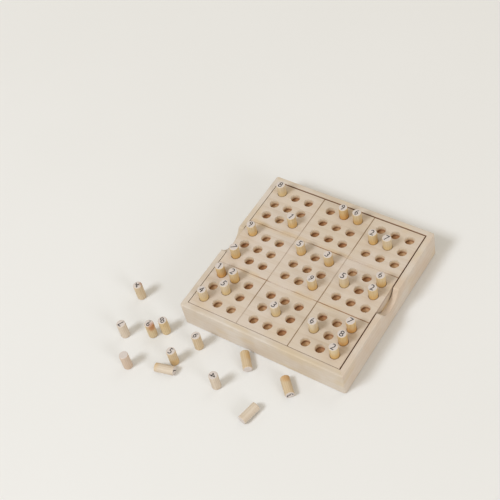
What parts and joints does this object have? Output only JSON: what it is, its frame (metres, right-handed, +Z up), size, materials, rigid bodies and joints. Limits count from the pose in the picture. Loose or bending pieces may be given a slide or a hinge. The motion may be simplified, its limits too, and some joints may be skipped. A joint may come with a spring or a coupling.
{
  "type": "sudoku board",
  "caption": "Wooden sudoku game: a square tray with finger notches, a lift-out board drilled with a grid of peg holes, and number pegs that stand in it.",
  "frame": {"origin": "middle of the tray's underside, which stands on the table", "axes": "+X along the front edge to the right, +Y to the back, +Z up"},
  "size_m": [0.27, 0.28, 0.048],
  "materials": {
    "rail_wood": "sanded, bare",
    "board_wood": "sanded, bare",
    "peg_wood": "sanded, bare",
    "panel_wood": "sanded, bare"
  },
  "bodies": {
    "tray": {"front_rail": "rail_wood", "back_rail": "rail_wood", "left_rail": "rail_wood", "right_rail": "rail_wood", "bottom_panel": "panel_wood", "front_cleat": "panel_wood", "back_cleat": "panel_wood", "left_cleat": "panel_wood", "right_cleat": "panel_wood", "stored_pegs_1": "peg_wood", "stored_pegs_2": "peg_wood", "stored_pegs_3": "peg_wood", "stored_pegs_4": "peg_wood", "stored_pegs_5": "peg_wood", "stored_pegs_6": "peg_wood", "stored_pegs_7": "peg_wood", "stored_pegs_8": "peg_wood", "stored_pegs_9": "peg_wood"},
    "board": {"peg_board": "board_wood"},
    "peg_8_r1c1_body": {"peg_8_r1c1": "peg_wood"},
    "peg_9_r1c5_body": {"peg_9_r1c5": "peg_wood"},
    "peg_6_r1c6_body": {"peg_6_r1c6": "peg_wood"},
    "peg_2_r2c7_body": {"peg_2_r2c7": "peg_wood"},
    "peg_7_r2c8_body": {"peg_7_r2c8": "peg_wood"},
    "peg_1_r3c3_body": {"peg_1_r3c3": "peg_wood"},
    "peg_9_r4c1_body": {"peg_9_r4c1": "peg_wood"},
    "peg_5_r4c4_body": {"peg_5_r4c4": "peg_wood"},
    "peg_3_r4c6_body": {"peg_3_r4c6": "peg_wood"},
    "peg_6_r4c9_body": {"peg_6_r4c9": "peg_wood"},
    "peg_5_r5c7_body": {"peg_5_r5c7": "peg_wood"},
    "peg_2_r5c9_body": {"peg_2_r5c9": "peg_wood"},
    "peg_7_r6c1_body": {"peg_7_r6c1": "peg_wood"},
    "peg_9_r6c6_body": {"peg_9_r6c6": "peg_wood"},
    "peg_1_r7c1_body": {"peg_1_r7c1": "peg_wood"},
    "peg_2_r7c2_body": {"peg_2_r7c2": "peg_wood"},
    "peg_7_r7c9_body": {"peg_7_r7c9": "peg_wood"},
    "peg_5_r8c2_body": {"peg_5_r8c2": "peg_wood"},
    "peg_3_r8c5_body": {"peg_3_r8c5": "peg_wood"},
    "peg_6_r8c7_body": {"peg_6_r8c7": "peg_wood"},
    "peg_8_r8c9_body": {"peg_8_r8c9": "peg_wood"},
    "peg_4_r9c1_body": {"peg_4_r9c1": "peg_wood"},
    "peg_2_r9c9_body": {"peg_2_r9c9": "peg_wood"},
    "loose_peg_4_a_body": {"loose_peg_4_a": "peg_wood"},
    "loose_peg_7_b_body": {"loose_peg_7_b": "peg_wood"},
    "loose_peg_9_c_body": {"loose_peg_9_c": "peg_wood"},
    "loose_peg_8_d_body": {"loose_peg_8_d": "peg_wood"},
    "loose_peg_6_e_body": {"loose_peg_6_e": "peg_wood"},
    "loose_peg_5_f_body": {"loose_peg_5_f": "peg_wood"},
    "loose_peg_4_g_body": {"loose_peg_4_g": "peg_wood"},
    "loose_peg_3_h_body": {"loose_peg_3_h": "peg_wood"},
    "loose_peg_1_j_body": {"loose_peg_1_j": "peg_wood"},
    "loose_peg_8_k_body": {"loose_peg_8_k": "peg_wood"},
    "loose_peg_3_l_body": {"loose_peg_3_l": "peg_wood"},
    "loose_peg_1_m_body": {"loose_peg_1_m": "peg_wood"}
  },
  "joints": [
    {"name": "board_lift", "type": "slide", "parent": "tray", "child": "board", "axis": [0, 0, 1], "range_m": [0, 0.06]},
    {"name": "peg_8_r1c1_pull", "type": "slide", "parent": "board", "child": "peg_8_r1c1_body", "axis": [0, 0, 1], "range_m": [0, 0.025]},
    {"name": "peg_9_r1c5_pull", "type": "slide", "parent": "board", "child": "peg_9_r1c5_body", "axis": [0, 0, 1], "range_m": [0, 0.025]},
    {"name": "peg_6_r1c6_pull", "type": "slide", "parent": "board", "child": "peg_6_r1c6_body", "axis": [0, 0, 1], "range_m": [0, 0.025]},
    {"name": "peg_2_r2c7_pull", "type": "slide", "parent": "board", "child": "peg_2_r2c7_body", "axis": [0, 0, 1], "range_m": [0, 0.025]},
    {"name": "peg_7_r2c8_pull", "type": "slide", "parent": "board", "child": "peg_7_r2c8_body", "axis": [0, 0, 1], "range_m": [0, 0.025]},
    {"name": "peg_1_r3c3_pull", "type": "slide", "parent": "board", "child": "peg_1_r3c3_body", "axis": [0, 0, 1], "range_m": [0, 0.025]},
    {"name": "peg_9_r4c1_pull", "type": "slide", "parent": "board", "child": "peg_9_r4c1_body", "axis": [0, 0, 1], "range_m": [0, 0.025]},
    {"name": "peg_5_r4c4_pull", "type": "slide", "parent": "board", "child": "peg_5_r4c4_body", "axis": [0, 0, 1], "range_m": [0, 0.025]},
    {"name": "peg_3_r4c6_pull", "type": "slide", "parent": "board", "child": "peg_3_r4c6_body", "axis": [0, 0, 1], "range_m": [0, 0.025]},
    {"name": "peg_6_r4c9_pull", "type": "slide", "parent": "board", "child": "peg_6_r4c9_body", "axis": [0, 0, 1], "range_m": [0, 0.025]},
    {"name": "peg_5_r5c7_pull", "type": "slide", "parent": "board", "child": "peg_5_r5c7_body", "axis": [0, 0, 1], "range_m": [0, 0.025]},
    {"name": "peg_2_r5c9_pull", "type": "slide", "parent": "board", "child": "peg_2_r5c9_body", "axis": [0, 0, 1], "range_m": [0, 0.025]},
    {"name": "peg_7_r6c1_pull", "type": "slide", "parent": "board", "child": "peg_7_r6c1_body", "axis": [0, 0, 1], "range_m": [0, 0.025]},
    {"name": "peg_9_r6c6_pull", "type": "slide", "parent": "board", "child": "peg_9_r6c6_body", "axis": [0, 0, 1], "range_m": [0, 0.025]},
    {"name": "peg_1_r7c1_pull", "type": "slide", "parent": "board", "child": "peg_1_r7c1_body", "axis": [0, 0, 1], "range_m": [0, 0.025]},
    {"name": "peg_2_r7c2_pull", "type": "slide", "parent": "board", "child": "peg_2_r7c2_body", "axis": [0, 0, 1], "range_m": [0, 0.025]},
    {"name": "peg_7_r7c9_pull", "type": "slide", "parent": "board", "child": "peg_7_r7c9_body", "axis": [0, 0, 1], "range_m": [0, 0.025]},
    {"name": "peg_5_r8c2_pull", "type": "slide", "parent": "board", "child": "peg_5_r8c2_body", "axis": [0, 0, 1], "range_m": [0, 0.025]},
    {"name": "peg_3_r8c5_pull", "type": "slide", "parent": "board", "child": "peg_3_r8c5_body", "axis": [0, 0, 1], "range_m": [0, 0.025]},
    {"name": "peg_6_r8c7_pull", "type": "slide", "parent": "board", "child": "peg_6_r8c7_body", "axis": [0, 0, 1], "range_m": [0, 0.025]},
    {"name": "peg_8_r8c9_pull", "type": "slide", "parent": "board", "child": "peg_8_r8c9_body", "axis": [0, 0, 1], "range_m": [0, 0.025]},
    {"name": "peg_4_r9c1_pull", "type": "slide", "parent": "board", "child": "peg_4_r9c1_body", "axis": [0, 0, 1], "range_m": [0, 0.025]},
    {"name": "peg_2_r9c9_pull", "type": "slide", "parent": "board", "child": "peg_2_r9c9_body", "axis": [0, 0, 1], "range_m": [0, 0.025]},
    {"name": "loose_peg_4_a_lift", "type": "slide", "parent": "tray", "child": "loose_peg_4_a_body", "axis": [0, 0, 1], "range_m": [0, 0.03]},
    {"name": "loose_peg_7_b_lift", "type": "slide", "parent": "tray", "child": "loose_peg_7_b_body", "axis": [0, 0, 1], "range_m": [0, 0.03]},
    {"name": "loose_peg_9_c_lift", "type": "slide", "parent": "tray", "child": "loose_peg_9_c_body", "axis": [0, 0, 1], "range_m": [0, 0.03]},
    {"name": "loose_peg_8_d_lift", "type": "slide", "parent": "tray", "child": "loose_peg_8_d_body", "axis": [0, 0, 1], "range_m": [0, 0.03]},
    {"name": "loose_peg_6_e_lift", "type": "slide", "parent": "tray", "child": "loose_peg_6_e_body", "axis": [0, 0, 1], "range_m": [0, 0.03]},
    {"name": "loose_peg_5_f_lift", "type": "slide", "parent": "tray", "child": "loose_peg_5_f_body", "axis": [0, 0, 1], "range_m": [0, 0.03]},
    {"name": "loose_peg_4_g_lift", "type": "slide", "parent": "tray", "child": "loose_peg_4_g_body", "axis": [0, 0, 1], "range_m": [0, 0.03]},
    {"name": "loose_peg_3_h_lift", "type": "slide", "parent": "tray", "child": "loose_peg_3_h_body", "axis": [0, 0, 1], "range_m": [0, 0.03]},
    {"name": "loose_peg_1_j_lift", "type": "slide", "parent": "tray", "child": "loose_peg_1_j_body", "axis": [0, 0, 1], "range_m": [0, 0.03]},
    {"name": "loose_peg_8_k_lift", "type": "slide", "parent": "tray", "child": "loose_peg_8_k_body", "axis": [0, 0, 1], "range_m": [0, 0.03]},
    {"name": "loose_peg_3_l_lift", "type": "slide", "parent": "tray", "child": "loose_peg_3_l_body", "axis": [0, 0, 1], "range_m": [0, 0.03]},
    {"name": "loose_peg_1_m_lift", "type": "slide", "parent": "tray", "child": "loose_peg_1_m_body", "axis": [0, 0, 1], "range_m": [0, 0.03]}
  ]
}
